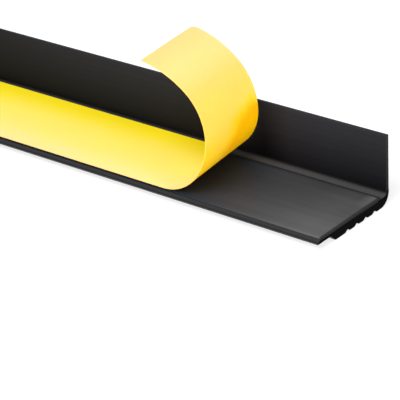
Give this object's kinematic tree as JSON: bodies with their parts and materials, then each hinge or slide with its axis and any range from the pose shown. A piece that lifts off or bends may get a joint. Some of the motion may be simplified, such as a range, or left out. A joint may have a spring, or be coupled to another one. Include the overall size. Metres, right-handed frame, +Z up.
{
  "type": "anti-slip stair nosing",
  "caption": "Self-adhesive L-shaped PVC stair nosing with a ribbed tread face, lying on its ribs, its yellow release liner peeled back into a curl.",
  "frame": {"origin": "middle of the part's box at ground level, with the nosing lying on its ribs", "axes": "+X along the extrusion towards the end where the liner is peeled, +Y across the tread leg towards the lip, +Z up"},
  "size_m": [0.5, 0.05, 0.0609],
  "materials": {
    "black_pvc": "satin extruded PVC, black, with a slightly darker ribbed face",
    "dark_adhesive": "smooth dark grey adhesive tape with a soft sheen",
    "yellow_liner": "smooth coated yellow liner paper"
  },
  "bodies": {
    "root": {"nosing_profile": "black_pvc", "adhesive_tape": "dark_adhesive", "release_liner": "yellow_liner"}
  },
  "joints": []
}
